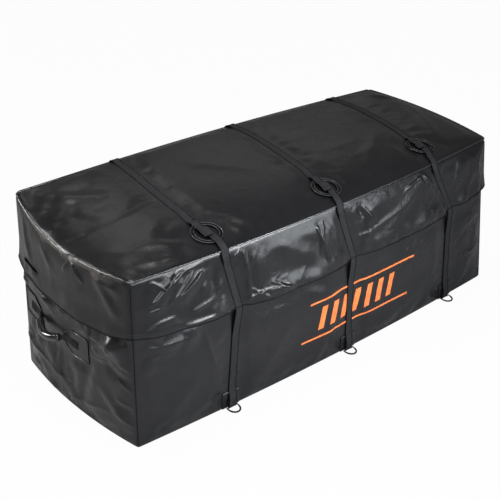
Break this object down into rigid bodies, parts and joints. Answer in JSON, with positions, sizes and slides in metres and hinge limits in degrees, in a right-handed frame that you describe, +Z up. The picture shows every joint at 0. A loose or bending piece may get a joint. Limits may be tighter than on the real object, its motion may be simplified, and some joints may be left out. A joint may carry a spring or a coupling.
{
  "type": "hitch cargo bag",
  "caption": "Soft box-shaped hitch cargo bag of black tarpaulin, lid with deep skirt over a zip, lashing straps with joining rings and floor rings, carry handles on both ends.",
  "frame": {"origin": "on the floor under the middle of the bag", "axes": "+X along the bag, -Y out of the front wall, +Z up"},
  "size_m": [1.6744, 0.718, 0.6081],
  "materials": {
    "tarpaulin": "semi-gloss coated",
    "lid_tarpaulin": "semi-gloss coated",
    "webbing": "matt woven",
    "moulding": "satin",
    "wire": "gloss black",
    "zip_metal": "gloss black",
    "grip": "gloss"
  },
  "bodies": {
    "bag": {"foot_patch_back_left": "tarpaulin", "foot_patch_back_middle": "tarpaulin", "foot_patch_back_right": "tarpaulin", "foot_patch_front_left": "tarpaulin", "foot_patch_front_middle": "tarpaulin", "foot_patch_front_right": "tarpaulin", "handle_grip_left": "grip", "handle_grip_right": "grip", "handle_patch_left_far": "tarpaulin", "handle_patch_left_near": "tarpaulin", "handle_patch_right_far": "tarpaulin", "handle_patch_right_near": "tarpaulin", "handle_web_left": "webbing", "handle_web_right": "webbing", "joining_ring_left": "moulding", "joining_ring_middle": "moulding", "joining_ring_right": "moulding", "lid_back_skirt": "lid_tarpaulin", "lid_front_skirt": "lid_tarpaulin", "lid_left_skirt": "lid_tarpaulin", "lid_right_skirt": "lid_tarpaulin", "lid_top_panel": "lid_tarpaulin", "lid_top_piping": "lid_tarpaulin", "strap_front_left": "webbing", "strap_front_middle": "webbing", "strap_front_right": "webbing", "strap_top_left": "webbing", "strap_top_middle": "webbing", "strap_top_right": "webbing", "tub_back_panel": "tarpaulin", "tub_bottom_panel": "tarpaulin", "tub_front_panel": "tarpaulin", "tub_left_panel": "tarpaulin", "tub_right_panel": "tarpaulin", "zip_lower_tape": "webbing", "zip_tooth_chain": "moulding", "zip_upper_tape": "webbing"},
    "floor_ring_front_left": {"floor_ring_front_left": "wire"},
    "floor_ring_back_left": {"floor_ring_back_left": "wire"},
    "floor_ring_front_middle": {"floor_ring_front_middle": "wire"},
    "floor_ring_back_middle": {"floor_ring_back_middle": "wire"},
    "floor_ring_front_right": {"floor_ring_front_right": "wire"},
    "floor_ring_back_right": {"floor_ring_back_right": "wire"},
    "zip_slider_left": {"zip_slider_left": "zip_metal", "zip_pull_left": "zip_metal"},
    "zip_slider_right": {"zip_slider_right": "zip_metal", "zip_pull_right": "zip_metal"}
  },
  "joints": [
    {"name": "floor_ring_front_left_turn", "type": "hinge", "parent": "bag", "child": "floor_ring_front_left", "pos_m": [-0.42487, -0.3248, 0.0052], "axis": [-1, 0, 0], "range_deg": [0, 65]},
    {"name": "floor_ring_back_left_turn", "type": "hinge", "parent": "bag", "child": "floor_ring_back_left", "pos_m": [-0.39421, 0.31585, 0.0052], "axis": [1, 0, 0], "range_deg": [0, 65]},
    {"name": "floor_ring_front_middle_turn", "type": "hinge", "parent": "bag", "child": "floor_ring_front_middle", "pos_m": [0.06516, -0.33, 0.0052], "axis": [-1, 0, 0], "range_deg": [0, 65]},
    {"name": "floor_ring_back_middle_turn", "type": "hinge", "parent": "bag", "child": "floor_ring_back_middle", "pos_m": [0.09434, 0.324, 0.0052], "axis": [1, 0, 0], "range_deg": [0, 65]},
    {"name": "floor_ring_front_right_turn", "type": "hinge", "parent": "bag", "child": "floor_ring_front_right", "pos_m": [0.55925, -0.31385, 0.0052], "axis": [-1, 0, 0], "range_deg": [0, 65]},
    {"name": "floor_ring_back_right_turn", "type": "hinge", "parent": "bag", "child": "floor_ring_back_right", "pos_m": [0.56271, 0.31181, 0.0052], "axis": [1, 0, 0], "range_deg": [0, 65]},
    {"name": "zip_left_run", "type": "slide", "parent": "bag", "child": "zip_slider_left", "axis": [-1, 0.0009, 0], "range_m": [0, 0.199]},
    {"name": "zip_right_run", "type": "slide", "parent": "bag", "child": "zip_slider_right", "axis": [0.9997, 0.0254, 0], "range_m": [0, 0.199]}
  ]
}
